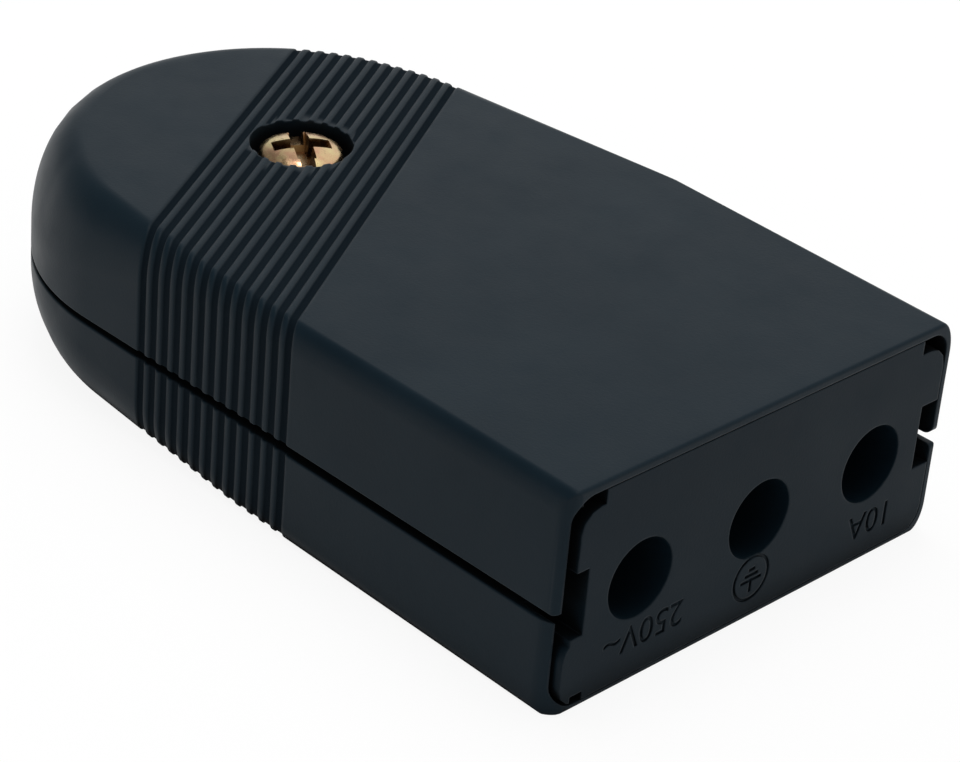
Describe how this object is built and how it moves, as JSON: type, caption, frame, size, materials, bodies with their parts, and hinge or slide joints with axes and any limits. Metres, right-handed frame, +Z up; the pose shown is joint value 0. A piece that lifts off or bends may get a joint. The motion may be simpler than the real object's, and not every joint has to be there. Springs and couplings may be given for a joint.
{
  "type": "in-line socket",
  "caption": "Flat in-line power socket with a rounded nose, a diagonal ribbed grip band, a cover screw and a face with round pin holes in a row.",
  "frame": {"origin": "centre of the flat underside", "axes": "+X along the length towards the face with the pin holes, +Y across the width, +Z up from the underside"},
  "size_m": [0.055, 0.0312, 0.014],
  "materials": {
    "shell_plastic": "fine satin, moulded",
    "plate_plastic": "fine satin, moulded",
    "gilt_screw": "yellow passivated steel",
    "nut_steel": "zinc plated",
    "contact_brass": "bright folded strip",
    "clip_steel": "spring steel",
    "terminal_steel": "zinc plated",
    "clamp_plastic": "moulded"
  },
  "bodies": {
    "root": {"upper_cover": "shell_plastic", "lower_base": "shell_plastic", "front_plate": "plate_plastic", "cover_screw": "gilt_screw", "cover_nut": "nut_steel", "cord_clamp": "clamp_plastic", "contact_left": "contact_brass", "contact_clip_left": "clip_steel", "terminal_screw_left": "terminal_steel", "contact_earth": "contact_brass", "contact_clip_earth": "clip_steel", "terminal_screw_earth": "terminal_steel", "contact_right": "contact_brass", "contact_clip_right": "clip_steel", "terminal_screw_right": "terminal_steel", "clamp_screw_left": "terminal_steel", "clamp_screw_right": "terminal_steel"}
  },
  "joints": []
}
